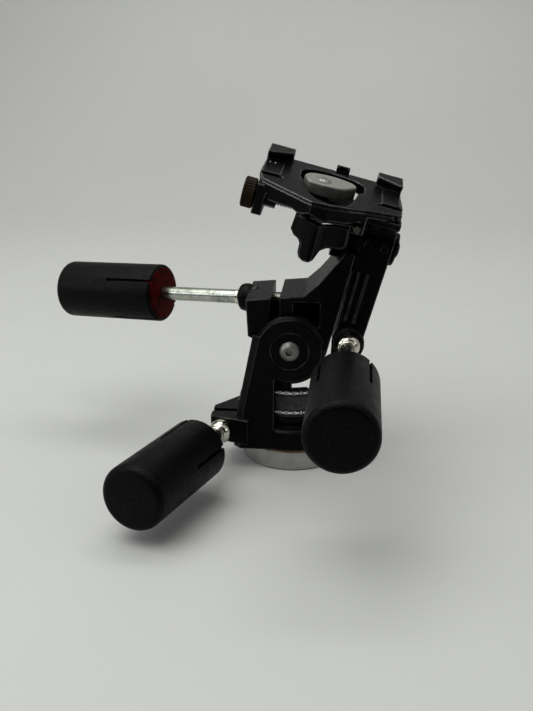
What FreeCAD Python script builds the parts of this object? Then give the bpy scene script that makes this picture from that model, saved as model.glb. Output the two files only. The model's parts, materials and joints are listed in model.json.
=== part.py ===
import FreeCAD, Part
import math
import os

os.makedirs("parts", exist_ok=True)
V = FreeCAD.Vector

# Fits and clearances, mm; over is how far a cut or a joined shape runs past a face
fit = 0.05
gap = 0.3
ball_gap = 0.3
over = 1.0

# Base, standing on the floor with the pan axis on Z
base_r = 30.0
base_h = 12.4
base_chamfer = 0.8
insert_r = 9.0
insert_h = 10.0
tripod_thread_r = 4.76
pan_washer_t = 0.5
pan_washer_out = 0.4
pan_washer_r = base_r + pan_washer_out
post_r = 17.0
pan_slack = 0.1
retainer_t = 2.5
retainer_r = 20.0
retainer_screw_r = 3.4
retainer_head_r = 7.0
retainer_head_h = 4.0
retainer_socket_af = 6.0
retainer_socket_d = 2.8
screw_floor = 1.5

# Pan body
ring_out = 1.0
ring_r = base_r + ring_out
ring_z0 = base_h + pan_washer_t + pan_slack
ring_z1 = 26.0
ring_shoulder_z = 24.3
post_z1 = ring_shoulder_z + gap
ring_chamfer = 1.2
tilt_z = 75.0
cheek_r = 20.5
cheek_t = 6.4
cheek_chamfer = 2.2
web_left = [(-21.6, 83.4), (-28.9, 47.0), (-31.9, 31.0), (-33.3, 18.3)]
web_right_x = -8.7
web_bevel = 4.2
web_bevel_in = 4.5
foot_x1 = -12.0
foot_inset = 4.0
left_wall_x = -30.9
left_wall_z = 42.0
left_wall_t = 4.0
wall_r = 25.0
wall_t = 3.5
wall_z1 = 50.4
wall_from = -25.0
wall_to = 27.0
wall_sink = 0.5
hood_to = 3.0
hood_z1 = 57.5
scale_z0 = 33.0
scale_z1 = 49.6
scale_t = 0.8
strip_z0 = 28.8
strip_z1 = 31.6
strip_t = 0.6

# Pan clamp lug
lug_z0 = 16.6
lug_z1 = 32.0
lug_tip_x = -47.2
lug_root_x = -24.0
lug_face = 3.0
lug_slit_y = -14.7
lug_slit = 4.6
lug_slit_x1 = -5.0
lug_slit_z1 = 44.0
lug_rear = [(-47.0, -7.7), (-43.2, -3.2), (-33.5, 9.5), (-24.0, 18.0), (-20.0, 0.0)]

# Tilt joint
shaft_r = 10.0
shaft_cap_r = 10.6
shaft_cap_t = 1.3
shaft_cap_sunk = 1.3
button_r = 5.9
button_h = 3.3
button_socket_af = 4.0
button_shank_r = 3.0
button_shank = 12.0
tilt_washer_t = 0.4
tilt_washer_r = 19.6
washer_slack = 0.2
arm_half = 22.5
cheek_y0 = arm_half + tilt_washer_t + washer_slack
cheek_y1 = cheek_y0 + cheek_t
web_bevel_y = cheek_y1 - web_bevel_in
arm_r = 20.5
tilt_rest = 14.5

# Tilt arm, neutral frame centred on the tilt axis
arm_face_x = 21.1
web_top = [(-6.0, 10.0), (-0.5, 31.9), (5.4, 40.6), (12.8, 56.1), (15.6, 63.0)]
web_foot_z = 1.5
web_toe = (17.5, -9.0)
roll_z = 67.4
bearing_r = 13.0
bearing_x0 = 7.0

# Tilt clamp, frame leaning with the handle
clamp_lean = tilt_rest
jaw = [(-24.8, 6.4), (-26.0, 28.2), (7.6, 31.1), (10.0, 0.0), (-10.0, 0.0)]
slit_x0 = -11.75
slit_x1 = -6.5
pocket_x0 = 1.5
pocket_x1 = 16.5
pocket_z0 = 12.8
pocket_z1 = 27.2
pocket_y1 = 8.0
slit_z0 = -0.5
boss_r = 8.4
boss_l = 16.0
cup_r = 8.5
cup_front = 3.2
jaw_slope_x = -40.0

# Handles: bar, ball collar, seat ring, grip and plug, all three alike
bar_r = 4.25
bar_thread_r = 4.0
bar_in = 35.5
bar_free = 59.5
bar_pushed = 29.0
bar_held = 32.0
bore_spare = 1.0
collar_r = 7.2
collar_back = 5.0
collar_front = 4.5
collar_neck_r = 4.8
collar_neck = 2.6
seat_r = 6.9
seat_back = 7.2
seat_front = 3.4
seat_slack = 0.6
boss_front = 1.6
grip_r = 18.0
grip_l = 70.8
grip_round_in = 1.6
grip_round_out = 4.0
grip_round_n = 4
grip_bore = 64.0
grip_wall = 3.4
grip_tube_r = 8.0
gate_r = 0.9
gate_d = 0.4
plug_r = 16.1
plug_t = 5.0
plug_proud = 0.5
plug_round = 1.3
grip_slit = 2.0
grip_slit_l = 31.0
grip_slit_depth = 2.4
grip_slits = 4
pan_slit_turn = -3.0
tilt_slit_turn = 18.0
roll_slit_turn = 60.0
nut_af = 10.6
nut_t = 6.5
nut_at = 28.5
nut_room = 0.6

# Handle places at rest: ball centre, swing from the viewer side, rise
tilt_ball = (-28.1, 8.1, 96.7)
tilt_swing = -109.2
tilt_rise = -3.8
nut_turn = tilt_swing + 60.0
pan_ball = (-40.5, -30.0, 24.3)
pan_swing = -19.0
pan_rise = 1.5
roll_ball = (31.6, -22.5, -56.7)
roll_swing = -0.9
roll_rise = -0.6

# Roll joint and platform arm, frame centred on the roll axis
roll_rest = 9.0
roll_shaft_r = 6.0
roll_shaft_x0 = 9.0
roll_washer_t = 0.5
sleeve_x0 = arm_face_x + roll_washer_t + gap
sleeve_x1 = 40.5
sleeve_r = 16.5
column_slope = 3.5
roll_washer_r = 13.0
roll_cap_t = 3.0
roll_cap_r = 9.7
roll_cap_chamfer = 0.8
roll_button_r = 5.0
roll_button_h = 1.7
roll_button_shank_r = 2.5
roll_socket_af = 3.0
column_front = -20.0
column_rear = 14.5
column_foot_z = -65.5
column_taper = 1.6
column_boss_r = 9.4
column_boss_l = 8.0
column_slit_y = -2.0
column_slit = 3.0
column_slit_z = (-90.0, -3.0)
rib_x = [24.9, 30.0]
rib_w = 1.8
rib_rise = 0.2
rib_root = 4.0
rib_z0 = -44.0
rib_z1 = -14.0
saddle_y = 13.0
flange_y = 20.5
flange_t = 4.0
plate_screw_inset = (4.5, 3.9)
plate_screw_r = 1.95
plate_screw_head_r = 3.4
plate_screw_head_h = 2.4
plate_screw_room = 3.9
plate_screw_tip = 1.2
plate_screw_socket = 3.0
plate_screw_socket_d = 1.3

# Platform plate, frame centred under it on the roll axis
plate_top = 26.0
plate_t = 4.2
plate_z0 = plate_top - plate_t
plate_outline = [
    (-42.3, 31.5), (-25.6, 33.5), (24.5, 33.5), (38.3, 31.5),
    (38.6, 17.0), (40.0, -3.0), (39.5, -17.5), (19.5, -24.3),
    (10.0, -29.0), (-0.7, -32.7), (-10.6, -34.3), (-40.0, -17.0),
    (-41.8, -8.0), (-43.0, -3.0), (-42.6, 14.0)]
skirt_line = [(-40.0, -17.0), (-10.6, -34.3), (-0.7, -32.7), (10.0, -29.0), (19.5, -24.3)]
skirt_t = 3.0
rim_line = skirt_line + [(39.5, -17.5)]
rim_in = 0.8
rim_drop = 1.6
skirt_z0 = [14.6, 18.9, 17.0, 17.2, 18.8]
floor_z0 = 15.5
floor_z1 = 17.7
floor_outline = [
    (-21.8, 4.0), (-14.8, -21.6), (-9.5, -29.6), (-0.7, -31.8), (10.0, -28.2), (15.4, -25.6),
    (15.4, 6.0), (14.2, 12.0), (12.8, 17.0), (10.8, 22.0), (8.0, 26.6), (-10.0, 27.0),
    (-19.0, 23.6), (-22.2, 15.0)]
curb_z0 = 19.3
curb_outline = [(12.0, 4.0), (19.0, 4.0), (19.0, 15.5), (16.0, 23.5), (8.0, 27.0), (4.0, 22.0)]
recess_start = (-19.6, 3.0)
recess = [
    (-12.6, -21.0), (-8.0, -27.0), (-1.0, -29.2), (8.2, -25.8), (10.8, -18.0), (13.2, -3.0),
    (13.6, 1.0), (16.9, 5.0), (16.9, 14.0), (14.4, 20.6, 8.0, 23.6), (-1.2, 25.6, -10.0, 24.6),
    (-18.0, 21.6, -20.6, 14.0), (-20.6, 6.0)]
hex_x = -1.5
hex_apothem = 34.6
hex_half = 30.0
lip_overhang = 2.4
claw_h = 6.8
lip_t = 2.6
claw_left_x = (-42.3, -27.2)
claw_right_x = (23.3, 38.3)
claw_back = 31.0
ledge_h = 0.9
ledge_front = -6.0
ledge_back = 20.0
pad_left_x = -31.4
pad_right_x = 27.5
groove_w = 2.6
groove_d = 1.4

# Cam and release lever
cam_axis = (-8.0, -1.0)
cam_start = (-17.3, -3.2)
cam_outline = [
    (-17.1, 5.6, -11.5, 10.0), (0.0, 11.5, 8.8, 8.8), (11.5, 5.6, 12.0, 1.4), (5.6, -6.4),
    (-5.5, -9.3, -13.6, -8.0), (-16.0, -6.2, -17.3, -3.2)]
cam_z0 = 22.0
cam_z1 = plate_top + 2.7
cam_chamfer = 0.7
cam_neck_r = 6.0
cam_rest = 0.2
cam_shaft_r = 4.0
cam_shaft_z1 = 24.0
hub_r = 8.6
hub_z0 = 9.0
hub_z1 = floor_z0 - gap
hub_neck_r = 5.0
hub_neck_z = 12.6
lever_arm = [(-15.8, -2.0), (-17.0, -28.0), (-3.0, -28.0), (0.0, -4.0)]
lever_arm_z1 = 12.0
lever_face = [
    (-17.2, 15.0), (-17.6, 9.6), (-17.9, 5.8), (-15.6, 2.2), (-11.2, 0.2), (-11.0, -5.4),
    (-9.8, -8.0), (-7.0, -9.6), (-3.6, -9.8), (-1.4, -8.0), (0.9, -2.0), (4.0, 0.4),
    (12.4, 2.0), (14.4, 4.6), (13.6, 15.0), (6.0, 15.2), (-2.0, 13.0), (-8.0, 14.0)]
lever_y0 = -31.4
lever_y1 = -26.6
lever_chamfer = 0.9
lever_screw_r = 4.6
lever_screw_h = 2.8
lever_screw_shank_r = 2.0
lever_screw_shank = 8.5
lever_screw_socket = 2.5
spring_wire = 0.8
spring_pitch = 1.1
spring_h = 1.65
spring_seat = 0.5
spring_room = 1.0

# Lock screw through the left flange
flange_x0 = -42.0
flange_x1 = -36.0
flange_y0 = -19.0
flange_y1 = -4.0
flange_z0 = 5.0
lock_y = -15.0
lock_z = 15.4
lock_r = 3.0
lock_tip_x = -18.4
lock_head_r = 8.6
lock_head_t = 6.6
lock_groove_n = 30
lock_groove_r = 0.42
lock_rim = 0.9
lock_nut_af = 9.4
lock_nut_t = 6.4
lock_room = 0.4

# Safety pin and its housing
pin_x = 17.2
pin_z = 15.2
pin_r = 1.6
pin_head_r = 1.9
pin_y0 = -28.6
pin_y1 = -13.0
pin_head_t = 1.4
pin_collar_r = 2.5
pin_collar_t = 1.4
pin_chamber_r = 3.0
pin_house = 4.0
pin_house_y0 = -24.4
pin_house_y1 = -12.6
pin_wall = 1.6
pin_spring_r = 2.4
pin_spring_wire = 0.5
pin_spring_pitch = 1.4

# Trigger on the back edge
trigger_x = (-1.2, 6.7)
trigger_y = (31.0, 36.6)
trigger_z0 = 20.2
trigger_z1 = plate_top + 2.8
trigger_guide_z0 = 15.5
trigger_guide_t = 1.4
trigger_floor = 1.0
trigger_room = 0.1
trigger_notch = (1.4, 1.8, 2.2)
trigger_bore_r = 2.35
trigger_bore = 3.4
trigger_spring_r = 1.9
trigger_spring_wire = 0.6
trigger_spring_pitch = 1.6


def box(x0, x1, y0, y1, z0, z1):
    return Part.makeBox(x1 - x0, y1 - y0, z1 - z0, V(x0, y0, z0))


def rod(p, d, r, length):
    return Part.makeCylinder(r, length, p, d)


def zcyl(r, z0, z1, x=0.0, y=0.0):
    return Part.makeCylinder(r, z1 - z0, V(x, y, z0), V(0, 0, 1))


def ring(r1, r0, z0, z1):
    return zcyl(r1, z0, z1).cut(zcyl(r0, z0 - over, z1 + over))


def circles_at(shape, z):
    found = []
    for e in shape.Edges:
        if e.Curve.TypeId == "Part::GeomCircle" and abs(e.CenterOfMass.z - z) < 0.01:
            found.append(e)
    return found


def prism_y(points, y0, y1):
    wire = Part.makePolygon([V(x, y0, z) for x, z in points + points[:1]])
    return Part.Face(wire).extrude(V(0, y1 - y0, 0))


def prism_z(points, z0, z1):
    wire = Part.makePolygon([V(x, y, z0) for x, y in points + points[:1]])
    return Part.Face(wire).extrude(V(0, 0, z1 - z0))


def curved_prism(start, steps, z0, z1):
    # A step of two numbers ends a straight run, and one of four is an arc: a point on it, then its end
    edges = []
    p = V(start[0], start[1], z0)
    for step in list(steps) + [start]:
        q = V(step[-2], step[-1], z0)
        if len(step) == 4:
            edges.append(Part.Arc(p, V(step[0], step[1], z0), q).toShape())
        elif p.distanceToPoint(q) > 0.01:
            edges.append(Part.makeLine(p, q))
        p = q
    return Part.Face(Part.Wire(edges)).extrude(V(0, 0, z1 - z0))


def turned(profile):
    wire = Part.makePolygon([V(r, 0, z) for r, z in profile + profile[:1]])
    return Part.Face(wire).revolve(V(0, 0, 0), V(0, 0, 1), 360)


def hexagon(af, z0, z1):
    r = af / math.sqrt(3)
    points = []
    for k in range(6):
        a = math.radians(60 * k)
        points.append((r * math.cos(a), r * math.sin(a)))
    return prism_z(points, z0, z1)


def coil(r, wire, pitch, height):
    helix = Part.makeHelix(pitch, height, r)
    section = Part.Wire(Part.makeCircle(wire / 2, V(r, 0, 0), V(0, 1, 0)))
    return Part.Wire(helix.Edges).makePipeShell([section], True, True)


def heading(swing, rise):
    a = math.radians(swing)
    e = math.radians(rise)
    return V(math.cos(e) * math.sin(a), -math.cos(e) * math.cos(a), math.sin(e))


def along(shape, p, d):
    s = shape.copy()
    s.Placement = FreeCAD.Placement(V(*p), FreeCAD.Rotation(V(0, 0, 1), d)).multiply(s.Placement)
    return s


def moved(shape, x, y, z):
    s = shape.copy()
    s.translate(V(x, y, z))
    return s


def turn(shape, axis, angle):
    s = shape.copy()
    s.rotate(V(0, 0, 0), axis, angle)
    return s


def place_tilt(shape):
    return moved(turn(shape, V(0, 1, 0), tilt_rest), 0, 0, tilt_z)


def place_clamp(shape):
    return turn(shape, V(0, 1, 0), -clamp_lean)


def place_platform(shape):
    return place_tilt(moved(turn(shape, V(1, 0, 0), roll_rest), 0, 0, roll_z))


def place_column(shape):
    return turn(shape, V(1, 0, 0), -roll_rest)


# Handle frames: Z runs outwards along the bar, zero at the ball centre
def tilt_handle_frame(shape):
    return along(shape, tilt_ball, heading(tilt_swing, tilt_rise))


def pan_handle_frame(shape):
    return along(shape, pan_ball, heading(pan_swing, pan_rise))


def roll_handle_column(shape):
    return along(shape, roll_ball, heading(roll_swing, roll_rise))


def roll_handle_frame(shape):
    return place_platform(place_column(roll_handle_column(shape)))


def tilt_handle_arm(shape):
    return place_clamp(moved(tilt_handle_frame(shape), 0, 0, -tilt_z))


# A handle's socket: the seat's bore, the ball's room and the hole for the bar's thread
def socket(frame):
    seat = zcyl(seat_r, -seat_back, -seat_front)
    ball = Part.makeSphere(collar_r + ball_gap)
    bore = zcyl(bar_thread_r + fit, -bar_in - bore_spare, 0)
    return frame(seat.fuse(ball).fuse(bore))


# Base: an alloy disc with its pan post, a threaded insert, washer, retainer and its screw
def make_base_disc():
    disc = zcyl(base_r, 0, base_h)
    disc = disc.makeChamfer(base_chamfer, circles_at(disc, 0) + circles_at(disc, base_h))
    disc = disc.fuse(zcyl(post_r, base_h - over, post_z1))
    disc = disc.cut(zcyl(insert_r, -over, insert_h))
    return disc.cut(zcyl(retainer_screw_r, insert_h + screw_floor, post_z1 + over)).removeSplitter()


def make_retainer_screw():
    z0 = post_z1 + retainer_t
    z1 = z0 + retainer_head_h
    head = zcyl(retainer_head_r, z0, z1)
    shank = zcyl(retainer_screw_r, insert_h + screw_floor + over, z0 + over)
    hex_hole = hexagon(retainer_socket_af, z1 - retainer_socket_d, z1 + over)
    return head.fuse(shank).cut(hex_hole).removeSplitter()


# Pan body: two cheeks on a clamp ring, a left wall, the clamp lug and the front scale wall
def web_outline(inset):
    left = []
    for x, z in web_left:
        left.append((x + inset, z))
    right = [(web_right_x, ring_z0), (web_right_x, left[0][1])]
    return left + [(left[-1][0], ring_z0)] + right


def make_web():
    outer = web_outline(0.0)
    inner = web_outline(web_bevel)
    front = Part.makePolygon([V(x, -cheek_y1, z) for x, z in inner + inner[:1]])
    back = Part.makePolygon([V(x, -web_bevel_y, z) for x, z in outer + outer[:1]])
    bevelled = Part.makeLoft([front, back], True, True)
    return bevelled.fuse(prism_y(outer, -web_bevel_y, -cheek_y0))


def make_cheek():
    profile = [
        (0, cheek_y0), (cheek_r, cheek_y0), (cheek_r, cheek_y1 - cheek_chamfer),
        (cheek_r - cheek_chamfer, cheek_y1), (0, cheek_y1)]
    disc = along(turned(profile), (0, 0, tilt_z), V(0, -1, 0))
    return disc.fuse(make_web())


def make_tilt_bores():
    bore = rod(V(0, -cheek_y1, tilt_z), V(0, 1, 0), shaft_r, 2 * cheek_y1)
    depth = over + shaft_cap_sunk + shaft_cap_t
    front = rod(V(0, -cheek_y1 - over, tilt_z), V(0, 1, 0), shaft_cap_r, depth)
    rear = rod(V(0, cheek_y1 + over, tilt_z), V(0, -1, 0), shaft_cap_r, depth)
    return bore.fuse(front).fuse(rear)


def make_lug():
    d = heading(pan_swing, 0)
    face = V(pan_ball[0], pan_ball[1], 0) - d * lug_face
    slope = d.x / -d.y
    left = (lug_tip_x, face.y + (lug_tip_x - face.x) * slope)
    right = (lug_root_x, face.y + (lug_root_x - face.x) * slope)
    return prism_z([left, (lug_tip_x, lug_slit_y)] + lug_rear + [right], lug_z0, lug_z1)


def sector(from_angle, to_angle):
    a = math.radians(from_angle)
    b = math.radians(to_angle)
    far = 2 * tilt_z
    points = [(0, 0), (far * math.sin(a), -far * math.cos(a)), (far * math.sin(b), -far * math.cos(b))]
    return prism_z(points, 0, tilt_z)


def make_front_wall():
    wall = ring(wall_r, wall_r - wall_t, ring_shoulder_z + wall_sink, wall_z1)
    hood = ring(wall_r, wall_r - wall_t, wall_z1 - over, hood_z1).common(sector(wall_from, hood_to))
    hood = hood.common(box(-wall_r, wall_r, -wall_r, -cheek_y0, 0, tilt_z))
    strip = ring(wall_r + strip_t, wall_r - wall_t / 2, strip_z0, strip_z1)
    return wall.fuse(strip).common(sector(wall_from, wall_to)).fuse(hood)


def make_pan_body():
    cheek = make_cheek()
    rear = cheek.mirror(V(0, 0, 0), V(0, 1, 0))
    clamp_ring = zcyl(ring_r, ring_z0, ring_z1)
    clamp_ring = clamp_ring.makeChamfer(ring_chamfer, circles_at(clamp_ring, ring_z1))
    y = cheek_y1 - foot_inset
    foot = box(web_left[-1][0], foot_x1, -y, y, ring_z0, ring_z1)
    y = cheek_y0 + over
    wall = box(left_wall_x, left_wall_x + left_wall_t, -y, y, ring_z0, left_wall_z)
    body = cheek.fuse(rear).fuse(clamp_ring).fuse(foot).fuse(wall)
    body = body.fuse(make_lug()).fuse(make_front_wall())
    body = body.cut(zcyl(post_r + fit, 0, ring_z1))
    body = body.cut(zcyl(retainer_r + gap, ring_shoulder_z, wall_z1))
    body = body.cut(make_tilt_bores())
    y = lug_slit / 2
    slit = box(lug_tip_x - over, lug_slit_x1, lug_slit_y - y, lug_slit_y + y, ring_z0 - over, lug_slit_z1)
    return body.cut(slit).cut(socket(pan_handle_frame)).removeSplitter()


def make_scale_plate():
    sheet = ring(wall_r + scale_t, wall_r, scale_z0, scale_z1)
    start = math.degrees(math.asin((web_right_x + gap) / (wall_r + scale_t)))
    return sheet.common(sector(start, wall_to))


# Tilt joint: a shaft through both cheeks, its end caps, button screws and friction washers
def make_tilt_shaft():
    half = cheek_y1 - shaft_cap_sunk - shaft_cap_t
    shaft = rod(V(0, -half, tilt_z), V(0, 1, 0), shaft_r, 2 * half)
    for s in (-1, 1):
        shaft = shaft.cut(rod(V(0, s * half, tilt_z), V(0, -s, 0), button_shank_r, button_shank))
    return shaft


def make_tilt_cap(s):
    half = cheek_y1 - shaft_cap_sunk - shaft_cap_t
    cap = rod(V(0, s * half, tilt_z), V(0, s, 0), shaft_cap_r, shaft_cap_t)
    return cap.cut(rod(V(0, s * half, tilt_z), V(0, s, 0), button_shank_r, shaft_cap_t))


def button_screw(head_r, head_h, shank_r, shank, socket_af):
    profile = [
        (0, 0), (head_r, 0), (head_r, 0.3 * head_h), (0.86 * head_r, 0.68 * head_h),
        (0.58 * head_r, head_h), (0, head_h)]
    screw = turned(profile).fuse(zcyl(shank_r, -shank, head_h / 2))
    return screw.cut(hexagon(socket_af, 0.35 * head_h, head_h + over)).removeSplitter()


def make_tilt_screw(s):
    shank = button_shank + shaft_cap_t - screw_floor
    screw = button_screw(button_r, button_h, button_shank_r, shank, button_socket_af)
    return along(screw, (0, s * (cheek_y1 - shaft_cap_sunk), tilt_z), V(0, s, 0))


def make_tilt_washer(s):
    washer = ring(tilt_washer_r, shaft_r + gap, 0, tilt_washer_t)
    return along(washer, (0, s * (cheek_y0 - tilt_washer_t), tilt_z), V(0, s, 0))


# The sloping top of the jaws, carried on to the left, ends the boss too
def make_jaw_slope():
    (x0, z0), (x1, z1) = jaw[1], jaw[2]
    z = z0 + (jaw_slope_x - x0) * (z1 - z0) / (x1 - x0)
    return prism_y([(jaw_slope_x, 0.0), (jaw_slope_x, z), (x1, z1), (x1, 0.0)], -arm_half, arm_half)


def tilt_hexagon(af, z0, z1):
    # One flat faces up, under the block's top
    return turn(hexagon(af, z0, z1), V(0, 0, 1), nut_turn)


# Tilt arm: sleeve and split clamp about the tilt axis, and a web up to the roll bearing
def make_tilt_arm():
    sleeve = rod(V(0, -arm_half, 0), V(0, 1, 0), arm_r, 2 * arm_half)
    block = place_clamp(prism_y(jaw, -arm_half, arm_half))
    side = web_top + [(arm_face_x, web_top[-1][1]), (arm_face_x, web_foot_z), web_toe]
    web = prism_y(side, -arm_half, arm_half)
    bearing = rod(V(bearing_x0, 0, roll_z), V(1, 0, 0), bearing_r, arm_face_x - bearing_x0)
    boss = tilt_handle_arm(zcyl(boss_r, -boss_l, -boss_front)).common(place_clamp(make_jaw_slope()))
    cup = tilt_handle_arm(Part.makeSphere(cup_r).common(zcyl(cup_r, -cup_r, cup_front)))
    arm = sleeve.fuse(block).fuse(web).fuse(bearing).fuse(boss).fuse(cup)
    y = 2 * arm_half
    slit = box(slit_x0, slit_x1, -y, y, slit_z0, 2 * arm_half)
    pocket = box(pocket_x0, pocket_x1, -y, pocket_y1, pocket_z0, pocket_z1)
    room = tilt_handle_arm(tilt_hexagon(nut_af + nut_room, -nut_at - 1.5 * nut_t, -nut_at))
    arm = arm.cut(rod(V(0, -y, 0), V(0, 1, 0), shaft_r + fit, 2 * y))
    arm = arm.cut(place_clamp(slit)).cut(place_clamp(pocket))
    arm = arm.cut(room).cut(socket(tilt_handle_arm))
    arm = arm.cut(rod(V(roll_shaft_x0, 0, roll_z), V(1, 0, 0), roll_shaft_r, 2 * arm_face_x))
    return place_tilt(arm.removeSplitter())


def make_tilt_nut():
    nut = tilt_hexagon(nut_af, -nut_at - nut_t, -nut_at)
    return tilt_handle_frame(nut.cut(zcyl(bar_thread_r + fit, -nut_at - nut_t - over, 0)))


# Roll joint: a shaft pressed in the arm, a washer, and a cap held on by a button screw
def make_roll_shaft():
    end = sleeve_x1 + gap
    shaft = rod(V(roll_shaft_x0, 0, roll_z), V(1, 0, 0), roll_shaft_r, end - roll_shaft_x0)
    return place_tilt(shaft.cut(rod(V(end, 0, roll_z), V(-1, 0, 0), roll_button_shank_r, button_shank)))


def make_roll_washer():
    washer = ring(roll_washer_r, roll_shaft_r + fit, 0, roll_washer_t)
    return place_tilt(along(washer, (arm_face_x, 0, roll_z), V(1, 0, 0)))


def make_roll_cap():
    r = roll_button_shank_r
    t = roll_cap_t
    c = roll_cap_chamfer
    profile = [(r, 0), (roll_cap_r, 0), (roll_cap_r, t - c), (roll_cap_r - c, t), (r, t)]
    return place_tilt(along(turned(profile), (sleeve_x1 + gap, 0, roll_z), V(1, 0, 0)))


def make_roll_screw():
    shank = button_shank + roll_cap_t - screw_floor
    screw = button_screw(roll_button_r, roll_button_h, roll_button_shank_r, shank, roll_socket_af)
    return place_tilt(along(screw, (sleeve_x1 + gap + roll_cap_t, 0, roll_z), V(1, 0, 0)))


# Platform arm: a sleeve on the roll shaft, a column down to the handle, a saddle and a flange
def column_section(z, front, inset):
    x0 = sleeve_x0 + inset
    x1 = sleeve_x1 - inset
    points = [(x0, front), (x1, front), (x1, column_rear), (x0, column_rear)]
    return Part.makePolygon([V(x, y, z) for x, y in points + points[:1]])


def make_column_slit():
    half = column_slit / 2
    z0, z1 = column_slit_z
    return box(0, 2 * sleeve_x1, column_slit_y - half, column_slit_y + half, z0, z1)


def make_column():
    top = column_section(0.0, column_front + column_slope, 0.0)
    low = column_section(column_foot_z, column_front, column_taper)
    column = Part.makeLoft([top, low], True, True)
    for x in rib_x:
        y = column_front - rib_rise
        column = column.fuse(box(x, x + rib_w, y, y + rib_root, rib_z0, rib_z1))
    boss = roll_handle_column(zcyl(column_boss_r, -column_boss_l, -boss_front))
    column = column.fuse(boss).cut(make_column_slit())
    return place_column(column.cut(socket(roll_handle_column)))


def plate_screw_places():
    dx, dy = plate_screw_inset
    places = []
    for x in (sleeve_x0 + dx, sleeve_x1 - dx):
        for y in (-flange_y + dy, flange_y - dy):
            places.append((x, y))
    return places


def make_platform_arm():
    z = plate_z0 - flange_t
    sleeve = rod(V(sleeve_x0, 0, 0), V(1, 0, 0), sleeve_r, sleeve_x1 - sleeve_x0)
    saddle = box(sleeve_x0, sleeve_x1, -saddle_y, saddle_y, 0, plate_z0)
    flange = box(sleeve_x0, sleeve_x1, -flange_y, flange_y, z, plate_z0)
    arm = sleeve.fuse(saddle).fuse(flange)
    for x, y in plate_screw_places():
        arm = arm.cut(zcyl(plate_screw_r, 0, plate_top, x, y))
        arm = arm.cut(zcyl(plate_screw_room, z - 2 * plate_screw_head_h, z, x, y))
    arm = arm.cut(place_column(make_column_slit())).fuse(make_column())
    arm = arm.cut(rod(V(0, 0, 0), V(1, 0, 0), roll_shaft_r + fit, 2 * sleeve_x1))
    return place_platform(arm.removeSplitter())


def make_plate_screw(x, y):
    z = plate_z0 - flange_t
    head = zcyl(plate_screw_head_r, z - plate_screw_head_h, z)
    shank = zcyl(plate_screw_r, z - over, plate_top - plate_screw_tip)
    deep = z - plate_screw_head_h + plate_screw_socket_d
    screw = head.fuse(shank).cut(hexagon(plate_screw_socket, z - plate_screw_head_h - over, deep))
    return place_platform(moved(screw.removeSplitter(), x, y, 0))


# Platform plate: top deck, front skirt and floor round the cam's recess, claws, pads and housings
def hex_side(x0, x1, side, apothem, z0, z1):
    a = math.radians(90 - side * hex_half)
    n = V(math.cos(a), math.sin(a), 0)
    q = V(-n.y, n.x, 0)
    p = V(hex_x, 0, 0) + n * apothem
    far = 2 * hex_apothem
    corners = [p + q * far, p - q * far, p - q * far + n * far, p + q * far + n * far]
    half = prism_z([(w.x, w.y) for w in corners], z0, z1)
    return half.common(box(x0, x1, ledge_front, claw_back, z0, z1))


def make_claw(x0, x1, side):
    z = plate_top + claw_h
    wall = hex_side(x0, x1, side, hex_apothem, plate_top - over, z)
    return wall.fuse(hex_side(x0, x1, side, hex_apothem - lip_overhang, z - lip_t, z))


def skirt_section(x, y, ox, oy, z):
    z1 = plate_z0 + over
    outside = [V(x, y, z), V(x, y, z1)]
    inside = [V(x + ox, y + oy, z1), V(x + ox, y + oy, z)]
    return Part.makePolygon(outside + inside + outside[:1])


def make_skirt():
    pieces = []
    for k in range(len(skirt_line) - 1):
        x0, y0 = skirt_line[k]
        x1, y1 = skirt_line[k + 1]
        n = math.hypot(x1 - x0, y1 - y0)
        ox = -(y1 - y0) / n * skirt_t
        oy = (x1 - x0) / n * skirt_t
        near = skirt_section(x0, y0, ox, oy, skirt_z0[k])
        far = skirt_section(x1, y1, ox, oy, skirt_z0[k + 1])
        pieces.append(Part.makeLoft([near, far], True, True))
    return pieces[0].fuse(pieces[1:])


def make_rim_cuts():
    # The deck's front edge steps in above the skirt
    cuts = []
    for k in range(len(rim_line) - 1):
        x0, y0 = rim_line[k]
        x1, y1 = rim_line[k + 1]
        along_edge = V(x1 - x0, y1 - y0, 0).normalize()
        inward = V(-along_edge.y, along_edge.x, 0) * rim_in
        p = V(x0, y0, 0) - along_edge * rim_in - inward * 2
        q = V(x1, y1, 0) + along_edge * rim_in - inward * 2
        corners = [p, q, q + inward * 3, p + inward * 3]
        cuts.append(prism_z([(c.x, c.y) for c in corners], plate_top - rim_drop, plate_top + over))
    return cuts[0].fuse(cuts[1:])


def make_pin_house():
    y0 = pin_house_y0
    y1 = pin_house_y1
    h = pin_house
    return box(pin_x - h, pin_x + h, y0, y1, pin_z - h, plate_z0 + over)


def make_pin_holes():
    run = pin_house_y1 - pin_y0 + 2 * over
    hole = rod(V(pin_x, pin_y0 - over, pin_z), V(0, 1, 0), pin_r + fit, run)
    length = pin_house_y1 - pin_house_y0 - 2 * pin_wall
    chamber = rod(V(pin_x, pin_house_y0 + pin_wall, pin_z), V(0, 1, 0), pin_chamber_r, length)
    return hole.fuse(chamber)


def trigger_box(grow, z0, z1):
    x0, x1 = trigger_x
    y0, y1 = trigger_y
    return box(x0 - grow, x1 + grow, y0 - grow, y1 + grow, z0, z1)


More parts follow.
